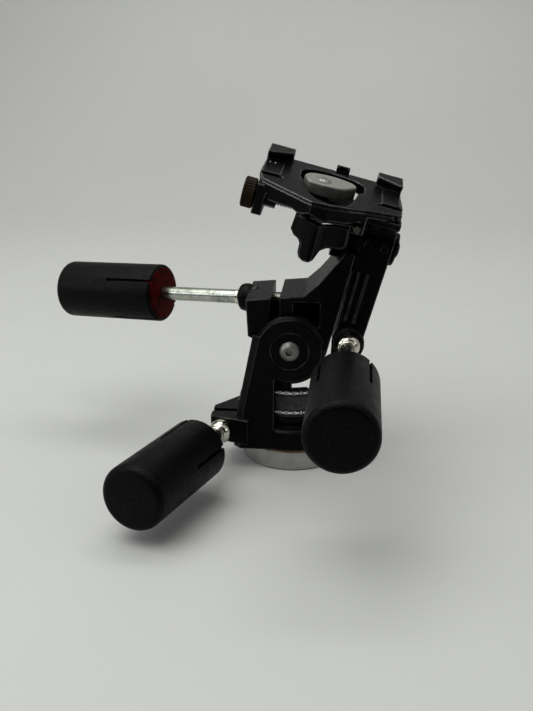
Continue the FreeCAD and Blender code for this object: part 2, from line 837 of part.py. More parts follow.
def make_platform_plate():
    plate = prism_z(plate_outline, plate_z0, plate_top).fuse(make_skirt()).cut(make_rim_cuts())
    plate = plate.fuse(prism_z(floor_outline, floor_z0, plate_z0 + over))
    plate = plate.fuse(prism_z(curb_outline, curb_z0, plate_z0 + over))
    plate = plate.cut(curved_prism(recess_start, recess, floor_z1, plate_top + over))
    for x0, x1 in ((claw_left_x[0], pad_left_x), (pad_right_x, claw_right_x[1])):
        plate = plate.fuse(box(x0, x1, ledge_front, ledge_back, plate_top - over, plate_top + ledge_h))
        y = ledge_front - groove_w
        groove = box(x0 - 2 * over, x1 + 2 * over, y, ledge_front, plate_top - groove_d, plate_top + over)
        plate = plate.cut(groove)
    plate = plate.fuse(make_claw(claw_left_x[0], claw_left_x[1], -1))
    plate = plate.fuse(make_claw(claw_right_x[0], claw_right_x[1], 1))
    plate = plate.fuse(box(flange_x0, flange_x1, flange_y0, flange_y1, flange_z0, plate_z0 + over))
    plate = plate.fuse(make_pin_house())
    guide = trigger_box(trigger_guide_t, trigger_guide_z0, plate_z0 + over)
    plate = plate.fuse(guide)
    z = trigger_guide_z0 + trigger_floor
    plate = plate.cut(trigger_box(trigger_room, z, plate_top + over))
    x = cam_axis[0]
    plate = plate.cut(lock_screw_room()).cut(make_pin_holes())
    plate = plate.cut(zcyl(cam_shaft_r + fit, 0, plate_top, x, cam_axis[1]))
    for x, y in plate_screw_places():
        plate = plate.cut(zcyl(plate_screw_r, 0, plate_top - plate_screw_tip, x, y))
    return place_platform(plate.removeSplitter())


# Cam and release lever, joined by a shaft through the platform's floor
def make_cam():
    cam = curved_prism(cam_start, cam_outline, cam_z0, cam_z1)
    rim = [e for e in cam.Edges if abs(e.BoundBox.ZLength) < 0.01 and e.CenterOfMass.z > cam_z1 - 0.1]
    cam = cam.makeChamfer(cam_chamfer, rim)
    x, y = cam_axis
    cam = cam.fuse(zcyl(cam_neck_r, floor_z1 + cam_rest, cam_z0 + over, x, y))
    return place_platform(cam.cut(zcyl(cam_shaft_r, 0, cam_shaft_z1, x, y)).removeSplitter())


def make_cam_shaft():
    x, y = cam_axis
    shaft = zcyl(cam_shaft_r, hub_z0, cam_shaft_z1, x, y)
    hole = zcyl(lever_screw_shank_r, 0, hub_z0 + lever_screw_shank + gap, x, y)
    return place_platform(shaft.cut(hole))


def make_lever():
    x, y = cam_axis
    hub = zcyl(hub_r, hub_z0, hub_neck_z, x, y).fuse(zcyl(hub_neck_r, hub_neck_z - over, hub_z1, x, y))
    arm = prism_z(lever_arm, hub_z0, lever_arm_z1)
    face = prism_y(lever_face, lever_y0, lever_y1)
    front = [e for e in face.Edges if e.BoundBox.YMax < lever_y0 + 0.1]
    lever = hub.fuse(arm).fuse(face.makeChamfer(lever_chamfer, front))
    return place_platform(lever.cut(zcyl(cam_shaft_r, 0, plate_top, x, y)).removeSplitter())


def make_lever_screw():
    screw = button_screw(
        lever_screw_r, lever_screw_h, lever_screw_shank_r, lever_screw_shank, lever_screw_socket)
    return place_platform(along(screw, (cam_axis[0], cam_axis[1], hub_z0), V(0, 0, -1)))


def make_lever_spring():
    spring = coil(hub_neck_r + spring_room, spring_wire, spring_pitch, spring_h)
    return place_platform(moved(spring, cam_axis[0], cam_axis[1], hub_neck_z + spring_seat))


# Lock screw: a knurled thumb screw through the left flange and its nut
def lock_screw_room():
    hole = rod(V(flange_x0 - over, lock_y, lock_z), V(1, 0, 0), lock_r + fit, lock_tip_x - flange_x0)
    run = lock_tip_x - flange_x1 + over
    room = rod(V(flange_x1, lock_y, lock_z), V(1, 0, 0), lock_r + lock_room, run)
    nut = hexagon(lock_nut_af + lock_room, 0, lock_nut_t + lock_room)
    return hole.fuse(room).fuse(along(nut, (flange_x1, lock_y, lock_z), V(1, 0, 0)))


def make_lock_screw():
    x1 = flange_x0 - gap
    x0 = x1 - lock_head_t
    head = rod(V(x0, lock_y, lock_z), V(1, 0, 0), lock_head_r, lock_head_t)
    for k in range(lock_groove_n):
        a = 2 * math.pi * k / lock_groove_n
        p = V(x0 + lock_rim, lock_y + lock_head_r * math.cos(a), lock_z + lock_head_r * math.sin(a))
        head = head.cut(rod(p, V(1, 0, 0), lock_groove_r, lock_head_t))
    shank = rod(V(x1 - over, lock_y, lock_z), V(1, 0, 0), lock_r, lock_tip_x - x1 + over)
    return place_platform(head.fuse(shank))


def make_lock_nut():
    nut = hexagon(lock_nut_af, 0, lock_nut_t).cut(zcyl(lock_r + fit, -over, lock_nut_t + over))
    return place_platform(along(nut, (flange_x1, lock_y, lock_z), V(1, 0, 0)))


# Safety pin: a sprung plunger in its housing right of the lever
def make_safety_pin():
    pin = rod(V(pin_x, pin_y0, pin_z), V(0, 1, 0), pin_r, pin_y1 - pin_y0)
    head = rod(V(pin_x, pin_y0, pin_z), V(0, 1, 0), pin_head_r, pin_head_t)
    y = pin_house_y0 + pin_wall + gap
    collar = rod(V(pin_x, y, pin_z), V(0, 1, 0), pin_collar_r, pin_collar_t)
    return place_platform(pin.fuse(head).fuse(collar).removeSplitter())


def make_pin_spring():
    y0 = pin_house_y0 + pin_wall + gap + pin_collar_t + pin_spring_wire
    y1 = pin_house_y1 - pin_wall - pin_spring_wire
    spring = coil(pin_spring_r, pin_spring_wire, pin_spring_pitch, y1 - y0)
    return place_platform(along(spring, (pin_x, y0, pin_z), V(0, 1, 0)))


# Trigger: a sprung block in its guide on the back edge
def make_trigger():
    x0, x1 = trigger_x
    y0, y1 = trigger_y
    side, deep, back = trigger_notch
    block = box(x0, x1, y0, y1, trigger_z0, trigger_z1)
    notch = box(x0 + side, x1 - side, y0 - over, y1 - back, trigger_z1 - deep, trigger_z1 + over)
    bore = zcyl(trigger_bore_r, 0, trigger_z0 + trigger_bore, (x0 + x1) / 2, (y0 + y1) / 2)
    return place_platform(block.cut(notch).cut(bore))


def make_trigger_spring():
    wire = trigger_spring_wire
    z0 = trigger_guide_z0 + trigger_floor + wire
    z1 = trigger_z0 + trigger_bore - wire
    spring = coil(trigger_spring_r, wire, trigger_spring_pitch, z1 - z0)
    return place_platform(moved(spring, sum(trigger_x) / 2, sum(trigger_y) / 2, z0))


# A handle: bar and ball collar turn in the seat, and the grip slides along the bar
def make_bar():
    thread = zcyl(bar_thread_r, -bar_in, over)
    return zcyl(bar_r, 0, bar_free + bar_held).fuse(thread).removeSplitter()


def make_collar():
    ball = Part.makeSphere(collar_r)
    ball = ball.common(zcyl(2 * collar_r, -collar_back, collar_front))
    neck = zcyl(collar_neck_r, collar_front - over, collar_front + collar_neck)
    thread = zcyl(bar_thread_r, -2 * collar_r, 0)
    return ball.fuse(neck).cut(thread).cut(zcyl(bar_r, 0, 2 * collar_r)).removeSplitter()


def make_seat():
    seat = zcyl(seat_r, -seat_back, -seat_front)
    seat = seat.cut(Part.makeSphere(collar_r + ball_gap))
    return seat.cut(zcyl(bar_thread_r + seat_slack, -seat_back - over, 0))


def round_edge(r, z, size, inward):
    points = []
    for k in range(grip_round_n + 1):
        a = math.pi / 2 * k / grip_round_n
        points.append((r - size + size * math.sin(a), z + inward * (size - size * math.cos(a))))
    return points


def make_grip(start, slit_turn):
    inner = round_edge(grip_r, 0, grip_round_in, 1)
    outer = round_edge(grip_r, grip_l, grip_round_out, -1)
    grip = turned([(0, 0)] + inner + outer[::-1] + [(0, grip_l)])
    grip = grip.cut(zcyl(plug_r, -over, plug_t))
    grip = grip.cut(ring(grip_r - grip_wall, grip_tube_r, plug_t - over, grip_l - grip_wall))
    grip = grip.cut(zcyl(bar_r + fit, 0, grip_bore)).cut(zcyl(gate_r, grip_l - gate_d, grip_l + over))
    x = grip_r - grip_slit_depth
    w = grip_slit / 2
    for k in range(grip_slits):
        slit = box(x, grip_r + over, -w, w, -over, grip_slit_l)
        slit = slit.fuse(rod(V(x, 0, grip_slit_l), V(1, 0, 0), w, grip_slit_depth + over))
        grip = grip.cut(turn(slit, V(0, 0, 1), slit_turn + k * 360.0 / grip_slits))
    return moved(grip.removeSplitter(), 0, 0, start)


def make_plug(start):
    r = bar_r + fit
    z = -plug_proud
    profile = [(r, z), (plug_r - plug_round, z), (plug_r, z + plug_round), (plug_r, plug_t), (r, plug_t)]
    return moved(turned(profile), 0, 0, start)


nodes = {
    "base_disc": make_base_disc(),
    "base_insert": ring(insert_r, tripod_thread_r, 0, insert_h),
    "pan_washer": ring(pan_washer_r, post_r + gap, base_h, base_h + pan_washer_t),
    "pan_retainer": ring(retainer_r, retainer_screw_r, post_z1, post_z1 + retainer_t),
    "pan_retainer_screw": make_retainer_screw(),
    "pan_body": make_pan_body(),
    "scale_plate": make_scale_plate(),
    "tilt_shaft": make_tilt_shaft(),
    "tilt_cap_front": make_tilt_cap(-1),
    "tilt_cap_rear": make_tilt_cap(1),
    "tilt_screw_front": make_tilt_screw(-1),
    "tilt_screw_rear": make_tilt_screw(1),
    "tilt_washer_front": make_tilt_washer(-1),
    "tilt_washer_rear": make_tilt_washer(1),
    "tilt_arm": make_tilt_arm(),
    "tilt_nut": make_tilt_nut(),
    "roll_shaft": make_roll_shaft(),
    "roll_washer": make_roll_washer(),
    "roll_cap": make_roll_cap(),
    "roll_screw": make_roll_screw(),
    "platform_arm": make_platform_arm(),
    "platform_plate": make_platform_plate(),
    "cam": make_cam(),
    "cam_shaft": make_cam_shaft(),
    "lever": make_lever(),
    "lever_screw": make_lever_screw(),
    "lever_spring": make_lever_spring(),
    "lock_screw": make_lock_screw(),
    "lock_nut": make_lock_nut(),
    "safety_pin": make_safety_pin(),
    "pin_spring": make_pin_spring(),
    "trigger": make_trigger(),
    "trigger_spring": make_trigger_spring(),
}
for k, (screw_x, screw_y) in enumerate(plate_screw_places()):
    nodes["plate_screw_%d" % (k + 1)] = make_plate_screw(screw_x, screw_y)
for name, frame, start, slit_turn in (
        ("pan", pan_handle_frame, bar_pushed, pan_slit_turn),
        ("tilt", tilt_handle_frame, bar_free, tilt_slit_turn),
        ("roll", roll_handle_frame, bar_free, roll_slit_turn)):
    nodes[name + "_bar"] = frame(make_bar())
    nodes[name + "_collar"] = frame(make_collar())
    nodes[name + "_seat"] = frame(make_seat())
    nodes[name + "_grip"] = frame(make_grip(start, slit_turn))
    nodes[name + "_plug"] = frame(make_plug(start))

for name, shape in nodes.items():
    shape.exportStep("parts/" + name + ".step")
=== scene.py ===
import json
import math

import bmesh
import bpy
import numpy
from mathutils import Matrix, Vector


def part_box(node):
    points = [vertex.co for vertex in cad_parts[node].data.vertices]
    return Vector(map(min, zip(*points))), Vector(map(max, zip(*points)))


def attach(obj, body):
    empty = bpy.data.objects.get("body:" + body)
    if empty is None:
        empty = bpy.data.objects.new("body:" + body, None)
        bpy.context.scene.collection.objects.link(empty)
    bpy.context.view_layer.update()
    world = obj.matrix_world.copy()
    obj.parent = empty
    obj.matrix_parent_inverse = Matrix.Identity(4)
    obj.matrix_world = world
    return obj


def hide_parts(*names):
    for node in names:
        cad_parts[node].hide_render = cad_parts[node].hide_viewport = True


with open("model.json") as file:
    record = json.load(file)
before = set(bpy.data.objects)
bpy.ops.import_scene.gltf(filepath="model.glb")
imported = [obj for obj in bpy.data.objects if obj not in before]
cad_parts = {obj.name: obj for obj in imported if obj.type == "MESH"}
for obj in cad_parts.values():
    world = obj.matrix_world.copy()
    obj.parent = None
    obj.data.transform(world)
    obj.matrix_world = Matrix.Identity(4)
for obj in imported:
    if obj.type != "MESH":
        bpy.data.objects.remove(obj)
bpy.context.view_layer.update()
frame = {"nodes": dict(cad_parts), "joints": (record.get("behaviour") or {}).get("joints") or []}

nodes = frame["nodes"]
joints = {joint["name"]: joint for joint in frame["joints"]}

# Camera: set at the viewing angle, looking slightly left and down at the head from the
# handle side, with a long lens on a portrait frame
camera_place = Vector((0.0305, -0.5173, 0.2417))
camera_right = Vector((0.9960, 0.0892, 0.0)).normalized()
camera_forward = Vector((-0.0843, 0.9414, -0.3265)).normalized()
camera_up = camera_right.cross(camera_forward).normalized()
camera_data = bpy.data.cameras.new("camera")
camera_data.sensor_fit = "HORIZONTAL"
camera_data.sensor_width = 36.0
camera_data.lens = 60.8
camera_data.clip_start = 0.01
camera = bpy.data.objects.new("camera", camera_data)
camera.matrix_world = Matrix.Translation(camera_place) @ Matrix(
    (camera_right, camera_up, -camera_forward)).transposed().to_4x4()
bpy.context.scene.collection.objects.link(camera)
bpy.context.scene.camera = camera
bpy.context.scene.view_settings.view_transform = "Standard"


# Shader sums: a socket of a material's nodes, used as a number in ordinary expressions
class Wire:
    def __init__(self, tree, socket=None):
        self.tree = tree
        self.socket = socket

    def node(self, kind, settings=None, inputs=None, output=0):
        made = self.tree.nodes.new("ShaderNode" + kind)
        for name, value in (settings or {}).items():
            setattr(made, name, value)
        for name, value in (inputs or {}).items():
            if isinstance(value, Wire):
                self.tree.links.new(value.socket, made.inputs[name])
            else:
                made.inputs[name].default_value = value
        return Wire(self.tree, made.outputs[output])

    def math(self, operation, first, second=0.0):
        return self.node("Math", {"operation": operation}, {0: first, 1: second})

    def __add__(self, other):
        return self.math("ADD", self, other)

    def __sub__(self, other):
        return self.math("SUBTRACT", self, other)

    def __rsub__(self, other):
        return self.math("SUBTRACT", other, self)

    def __mul__(self, other):
        return self.math("MULTIPLY", self, other)

    def ramp(self, low, high, start=0.0, end=1.0):
        return self.node(
            "MapRange", {"interpolation_type": "SMOOTHSTEP"},
            {"Value": self, "From Min": low, "From Max": high, "To Min": start, "To Max": end})

    def blend(self, first, second):
        return self.node("Mix", {"data_type": "RGBA"}, {0: self, 6: first, 7: second}, 2)

    def dot(self, direction):
        return self.node("VectorMath", {"operation": "DOT_PRODUCT"}, {0: self, 1: direction}, 1)

    def less(self, place):
        return self.node("VectorMath", {"operation": "SUBTRACT"}, {0: self, 1: place})

    def length(self):
        return self.node("VectorMath", {"operation": "LENGTH"}, {0: self}, 1)

    def noise(self, scale, detail=3.0, roughness=0.55, distortion=0.0):
        return self.node("TexNoise", {}, {
            "Vector": self, "Scale": scale, "Detail": detail, "Roughness": roughness,
            "Distortion": distortion})

    def cells(self, scale, feature="F1", randomness=1.0):
        return self.node(
            "TexVoronoi", {"feature": feature},
            {"Vector": self, "Scale": scale, "Randomness": randomness})

    def stretched(self, x, y, z):
        return self.node(
            "VectorMath", {"operation": "MULTIPLY"}, {0: self, 1: (x, y, z)})

    def bump(self, height, strength, distance, under=None):
        inputs = {"Height": height, "Strength": strength, "Distance": distance}
        if under is not None:
            inputs["Normal"] = under
        return self.node("Bump", {}, inputs)


def colour(r, g, b):
    return (r, g, b, 1.0)


def start_finish(name):
    material = bpy.data.materials.new(name)
    material.use_nodes = True
    tree = material.node_tree
    shader = tree.nodes["Principled BSDF"]
    wire = Wire(tree)
    place = wire.node("TexCoord", {}, {}, "Object")
    return material, shader, wire, place


def coat(shader, inputs):
    for name, value in inputs.items():
        if isinstance(value, Wire):
            shader.id_data.links.new(value.socket, shader.inputs[name])
        else:
            shader.inputs[name].default_value = value


def dress(material, *names):
    for name in names:
        for slot in nodes[name].material_slots:
            slot.material = material


# The edge mask reads a rounded normal: it is 0 on flats and rises where two faces meet
def rounded_edge(wire, radius):
    soft = wire.node("Bevel", {"samples": 6}, {"Radius": radius})
    hard = wire.node("NewGeometry", {}, {}, "Normal")
    edge = 1.0 - wire.node("VectorMath", {"operation": "DOT_PRODUCT"}, {0: soft, 1: hard}, 1)
    return soft, edge


def clean_up(merge=1e-7):
    bpy.ops.mesh.select_all(action="SELECT")
    bpy.ops.mesh.remove_doubles(threshold=merge)
    bpy.ops.mesh.select_all(action="SELECT")
    bpy.ops.mesh.normals_make_consistent(inside=False)


def hand_over(piece, material, body, slot, *replaced, smooth=32.0):
    bpy.ops.object.select_all(action="DESELECT")
    piece.select_set(True)
    bpy.context.view_layer.objects.active = piece
    bpy.ops.object.shade_smooth_by_angle(angle=math.radians(smooth))
    piece.data.materials.clear()
    piece.data.materials.append(material)
    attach(piece, body)
    if replaced:
        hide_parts(*replaced)


# Floor and light: a pale matt sweep, one large soft lamp overhead to the left, a small one at
# each side and one for the backdrop, in a pale room that is dark towards the front
sweep_colour = (0.475, 0.48, 0.47)
sweep_half = 1.6
sweep_front = -1.4
sweep_bend = 0.75
sweep_radius = 0.5
sweep_top = 1.5
sweep_steps = 12
bpy.ops.object.select_all(action="DESELECT")
bpy.ops.mesh.primitive_plane_add(size=1.0)
sweep = bpy.context.object
sweep.name = "sweep"
outline = [(sweep_front, 0.0), (sweep_bend, 0.0)]
for k in range(1, sweep_steps + 1):
    angle = math.pi / 2 * k / sweep_steps
    outline.append((
        sweep_bend + sweep_radius * math.sin(angle), sweep_radius * (1 - math.cos(angle))))
outline.append((sweep_bend + sweep_radius, sweep_top))
shape = bmesh.new()
rows = [[shape.verts.new((x, y, z)) for y, z in outline] for x in (-sweep_half, sweep_half)]
for k in range(len(outline) - 1):
    shape.faces.new((rows[0][k], rows[1][k], rows[1][k + 1], rows[0][k + 1]))
shape.to_mesh(sweep.data)
shape.free()
for face in sweep.data.polygons:
    face.use_smooth = True
material, shader, wire, place = start_finish("sweep_paint")
shade = place.noise(2.2, 2.0).ramp(0.3, 0.7)
coat(shader, {
    "Base Color": shade.blend(colour(*[0.97 * c for c in sweep_colour]), colour(*sweep_colour)),
    "Roughness": place.noise(60.0).ramp(0.3, 0.7, 0.42, 0.5),
    "Specular IOR Level": 0.25})
sweep.data.materials.append(material)


def lamp(name, place, target, size, depth, power, tint):
    data = bpy.data.lights.new(name, "AREA")
    data.shape = "RECTANGLE"
    data.size = size
    data.size_y = depth
    data.energy = power
    data.color = tint
    light = bpy.data.objects.new(name, data)
    light.location = place
    light.rotation_euler = (Vector(target) - Vector(place)).to_track_quat("-Z", "Y").to_euler()
    bpy.context.scene.collection.objects.link(light)


lamp("overhead_lamp", (-0.36, -0.26, 1.05), (0.06, 0.0, 0.05), 1.1, 0.9, 9.0, (1.0, 1.0, 0.97))
lamp("side_lamp", (-0.85, -0.42, 0.45), (0.0, 0.0, 0.12), 0.35, 0.45, 1.9, (0.90, 0.95, 1.0))
lamp("right_lamp", (0.90, -0.40, 0.50), (0.0, 0.0, 0.12), 0.35, 0.45, 0.7, (1.0, 1.0, 1.0))
lamp("backdrop_lamp", (0.0, 0.45, 1.45), (0.0, 1.25, 0.35), 1.4, 0.5, 11.0, (1.0, 1.0, 0.98))
world = bpy.data.worlds.new("room")
world.use_nodes = True
bpy.context.scene.world = world
sky = Wire(world.node_tree)
background = world.node_tree.nodes["Background"]
toward = sky.node("TexCoord", {}, {}, "Generated")
height = toward.dot((0.0, 0.0, 1.0)).ramp(-0.1, 0.9)
front = toward.dot((0.15, -1.0, -0.1)).ramp(0.0, 0.75)
room = height.blend(colour(0.26, 0.27, 0.26), colour(0.62, 0.63, 0.62))
world.node_tree.links.new(
    front.blend(room, colour(0.012, 0.012, 0.012)).socket, background.inputs["Color"])
background.inputs["Strength"].default_value = 1.0


# Black castings: die-cast alloy under satin black powder paint, thinner and rubbed along the
# edges, with a fine orange peel and a little dust on what faces up
def black_paint(name, dust=0.5, edge_radius=0.0008, wear=0.6, shine=0.6, gloss=0.03):
    material, shader, wire, place = start_finish(name)
    soft, edge = rounded_edge(wire, edge_radius)
    edge = edge + wire.node("Attribute", {"attribute_name": "edge"}, {}, "Fac")
    patches = place.noise(240.0, 4.0, 0.6)
    peel = place.noise(1500.0, 2.0)
    rub = edge.ramp(0.45, 1.05) * patches.ramp(0.45, 0.68) * wear
    up = wire.node("NewGeometry", {}, {}, "Normal").dot((0.0, 0.0, 1.0)).ramp(0.5, 1.0)
    dusty = up * place.noise(420.0, 5.0, 0.7).ramp(0.45, 0.75) * dust
    paint = patches.ramp(0.35, 0.7).blend(
        colour(0.0010, 0.0010, 0.0012), colour(0.0026, 0.0026, 0.0030))
    paint = dusty.blend(paint, colour(0.026, 0.026, 0.024))
    paint = rub.blend(paint, colour(0.10, 0.10, 0.098))
    coat(shader, {
        "Base Color": paint,
        "Roughness": place.noise(500.0, 3.0).ramp(0.3, 0.7, 0.30, 0.42) - rub * 0.08,
        "Metallic": rub * 0.6,
        "Coat Weight": (edge.ramp(0.12, 0.55) * shine + gloss) * (1.0 - up * 0.7),
        "Coat Roughness": 0.2,
        "Specular IOR Level": 0.035,
        "Normal": wire.bump(peel, 0.12, 0.0002, soft)})
    return material


casting = black_paint("black_casting_paint", 0.5, 0.0008, 0.35, 0.4)
edge_bend = 1200.0
edge_start = 0.15
casting_squares = 120000.0


# Stores how sharply the skin bends outwards at each point, from 0 on flats to 1 along edges
def mark_edges(mesh):
    count = len(mesh.vertices)
    spots = numpy.empty(3 * count)
    mesh.vertices.foreach_get("co", spots)
    spots = spots.reshape(count, 3)
    lean = numpy.empty(3 * count)
    mesh.vertex_normals.foreach_get("vector", lean)
    lean = lean.reshape(count, 3)
    ends = numpy.empty(2 * len(mesh.edges), dtype=int)
    mesh.edges.foreach_get("vertices", ends)
    first, second = ends.reshape(-1, 2).T
    step = spots[second] - spots[first]
    bend = ((lean[second] - lean[first]) * step).sum(1)
    bend = bend / numpy.maximum((step * step).sum(1), 1e-10)
    bent = numpy.zeros(count)
    numpy.maximum.at(bent, first, bend)
    numpy.maximum.at(bent, second, bend)
    stored = mesh.attributes.new("edge", "FLOAT", "POINT")
    stored.data.foreach_set("value", numpy.clip(bent / edge_bend - edge_start, 0.0, 1.0))


# Rounds a casting's edges as its mould does: the solid is skinned again with fine squares,
# which are carved where that is asked for, then relaxed and thinned out
def soften(node, name, square, passes, material, body, slot, carve=None):
    piece = bpy.data.objects.new(name, nodes[node].data.copy())
    bpy.context.scene.collection.objects.link(piece)
    bpy.ops.object.select_all(action="DESELECT")
    piece.select_set(True)
    bpy.context.view_layer.objects.active = piece
    bpy.ops.object.mode_set(mode="EDIT")
    clean_up()
    bpy.ops.object.mode_set(mode="OBJECT")
    skin = piece.modifiers.new("skin", "REMESH")
    skin.mode = "VOXEL"
    skin.voxel_size = square
    bpy.ops.object.modifier_apply(modifier="skin")
    if carve:
        for vertex in piece.data.vertices:
            vertex.co = carve(vertex.co)
    relax = piece.modifiers.new("relax", "SMOOTH")
    relax.factor = 0.5
    relax.iterations = passes
    bpy.ops.object.modifier_apply(modifier="relax")
    thin = piece.modifiers.new("thin", "DECIMATE")
    thin.ratio = min(0.5, casting_squares / (2.0 * len(piece.data.polygons)))
    bpy.ops.object.modifier_apply(modifier="thin")
    mark_edges(piece.data)
    hand_over(piece, material, body, slot, node, smooth=60.0)


# Bare metal parts: turned or plated, with fine tool marks round their own axis, small
# scratches and a dulled skin
def bare_metal(name, tint, dull, rough, origin, axis, pitch=0.0004, marks=0.25,
               edge_radius=0.0004):
    material, shader, wire, place = start_finish(name)
    soft, edge = rounded_edge(wire, edge_radius)
    axis = Vector(axis).normalized()
    local = place.less(tuple(origin))
    along = local.dot(tuple(axis))
    flat = wire.node("VectorMath", {"operation": "SUBTRACT"}, {
        0: local, 1: wire.node("VectorMath", {"operation": "SCALE"}, {
            0: tuple(axis), "Scale": along})})
    radius = flat.length()
    wobble = place.noise(90.0, 2.0) * (pitch * 1.5)
    turning = wire.math("SINE", (radius + along + wobble) * (2 * math.pi / pitch))
    film = place.noise(160.0, 5.0, 0.65).ramp(0.35, 0.7)
    scratch = place.stretched(1.0, 3.5, 0.6).noise(900.0, 2.0, 0.4, 2.0).ramp(0.62, 0.72)
    skin = film.blend(colour(*tint), colour(*dull))
    skin = (edge.ramp(0.05, 0.4) * 0.5).blend(skin, colour(*[min(1.0, 1.15 * c) for c in tint]))
    coat(shader, {
        "Base Color": skin,
        "Metallic": 1.0,
        "Roughness": film * 0.08 + scratch * 0.06 + rough,
        "Normal": wire.bump(turning * marks + scratch * 0.2, 0.12, 0.00005, soft)})
    return material


# Base: a turned alloy disc with a threaded steel insert, a thin friction washer on top, and
# the retainer that holds the head down on its post
upright = (0.0, 0.0, 1.0)
centre = (0.0, 0.0, 0.0)
dress(bare_metal(
    "base_alloy", (0.40, 0.40, 0.38), (0.34, 0.335, 0.315), 0.34, centre, upright, 0.0009, 0.6),
    "base_disc")
dress(bare_metal(
    "insert_steel", (0.46, 0.45, 0.42), (0.25, 0.24, 0.22), 0.32, centre, upright),
    "base_insert")
dress(bare_metal(
    "retainer_steel", (0.5, 0.5, 0.48), (0.33, 0.32, 0.30), 0.3, centre, upright),
    "pan_retainer", "pan_retainer_screw")


def friction_plastic(name, dark, light):
    material, shader, wire, place = start_finish(name)
    grain = place.noise(700.0, 4.0, 0.7)
    tone = grain.ramp(0.3, 0.7).blend(dark, light)
    coat(shader, {
        "Base Color": tone,
        "Roughness": grain.ramp(0.3, 0.7, 0.5, 0.75),
        "Normal": wire.bump(grain, 0.2, 0.0001)})
    return material


dress(friction_plastic(
    "washer_plastic", colour(0.16, 0.055, 0.014), colour(0.34, 0.13, 0.035)), "pan_washer")
dress(friction_plastic(
    "black_washer_plastic", colour(0.004, 0.004, 0.004), colour(0.008, 0.008, 0.008)),
    "tilt_washer_front", "tilt_washer_rear", "roll_washer")

# Pan body: the casting that turns on the base, with its two cheeks, the clamp lug for the
# pan handle, and the curved front wall that carries the scale
soften("pan_body", "pan_body_casting", 0.0004, 7, casting, "pan_body", "black_casting")


# Scale plate: a dark printed film stuck round the curved front wall of the pan body, with a
# stippled grey band between two rows of white numbers and dashes
grey_low = (0.0372, 0.0378)
grey_high = (0.0452, 0.0458)


def scale_film():
    material, shader, wire, place = start_finish("scale_film")
    height = place.dot(upright)
    band = height.ramp(*grey_low) * (1.0 - height.ramp(*grey_high))
    stipple = place.cells(1400.0).ramp(0.15, 0.5)
    worn = place.noise(300.0, 4.0).ramp(0.35, 0.65)
    tone = (band * (1.0 - stipple * 0.6) * (worn * 0.6 + 0.4)).blend(
        colour(0.006, 0.006, 0.006), colour(0.07, 0.07, 0.068))
    coat(shader, {
        "Base Color": tone,
        "Roughness": band * 0.2 + 0.35,
        "Specular IOR Level": 0.3,
        "Normal": wire.bump(stipple * band, 0.3, 0.0001)})
    return material


dress(scale_film(), "scale_plate")
mark_r = 0.02581
mark_height = 0.0020
size_per_height = 1.35
ink_t = 0.00002
dash_l = 0.0018
dash_w = 0.0009
dash_t = 0.00003
dash_sunk = 0.00001
scale_rows = (("upper", 0.0480), ("lower", 0.0356))
scale_words = ("30", "20", "10", "0", "10")
first_word = -13.0
first_dash = -17.75
scale_step = 9.5


def white_ink():
    material, shader, wire, place = start_finish("white_ink")
    patchy = place.noise(2500.0, 3.0).ramp(0.3, 0.6)
    coat(shader, {
        "Base Color": patchy.blend(colour(0.75, 0.75, 0.74), colour(0.95, 0.95, 0.93)),
        "Roughness": patchy * 0.2 + 0.4})
    return material


ink = white_ink()


def wrap_on_wall(piece, turn, height):
    for vertex in piece.data.vertices:
        angle = turn + vertex.co.x / mark_r
        r = mark_r + vertex.co.z
        vertex.co = (r * math.sin(angle), -r * math.cos(angle), height + vertex.co.y)


def scale_number(name, words, turn, height):
    bpy.ops.object.select_all(action="DESELECT")
    bpy.ops.object.text_add()
    piece = bpy.context.object
    piece.data.body = words
    piece.data.size = mark_height * size_per_height
    piece.data.align_x = "CENTER"
    piece.data.align_y = "CENTER"
    piece.data.extrude = ink_t
    bpy.ops.object.convert(target="MESH")
    piece = bpy.context.object
    piece.name = name
    wrap_on_wall(piece, turn, height)
    piece.data.materials.append(ink)
    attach(piece, "pan_body")


def scale_dashes(name, height, turns):
    bpy.ops.object.select_all(action="DESELECT")
    bpy.ops.mesh.primitive_cube_add(size=1.0)
    piece = bpy.context.object
    piece.name = name
    shape = bmesh.new()
    for turn in turns:
        made = bmesh.ops.create_cube(shape, size=1.0)["verts"]
        for vertex in made:
            x, y, z = vertex.co
            angle = turn + x * dash_l / mark_r
            r = mark_r + (z + 0.5) * dash_t - dash_sunk
            vertex.co = (r * math.sin(angle), -r * math.cos(angle), height + y * dash_w)
    shape.to_mesh(piece.data)
    shape.free()
    piece.data.materials.append(ink)
    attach(piece, "pan_body")


for k, words in enumerate(scale_words):
    for row, height in scale_rows:
        turn = math.radians(first_word + scale_step * k)
        scale_number("scale_%s_%d" % (row, k), words, turn, height)
dash_turns = [math.radians(first_dash + scale_step * k) for k in range(len(scale_words))]
for row, height in scale_rows:
    scale_dashes("scale_dashes_" + row, height, dash_turns)

# Tilt joint: a steel shaft through both cheeks, dark caps sunk in them, and a plated
# button screw with a hexagonal socket at each end. The roll joint's cap and screw, the plate
# screws, the lock nut and the lever's screw are dark like the caps
tilt_place = tuple(joints["tilt"]["pos_m"])
tilt_axis = (0.0, 1.0, 0.0)
plated = bare_metal(
    "plated_steel", (0.22, 0.225, 0.20), (0.14, 0.14, 0.125), 0.40, tilt_place, tilt_axis,
    0.0006, 0.3)
dress(plated, "tilt_shaft", "tilt_screw_front", "tilt_screw_rear")
dark_cap = black_paint("dark_cap_paint", 0.1, 0.0004, 0.2)
dress(dark_cap, "tilt_cap_front", "tilt_cap_rear", "roll_cap", "roll_screw", "plate_screw_1",
      "plate_screw_2", "plate_screw_3", "plate_screw_4", "lock_nut", "lever_screw")

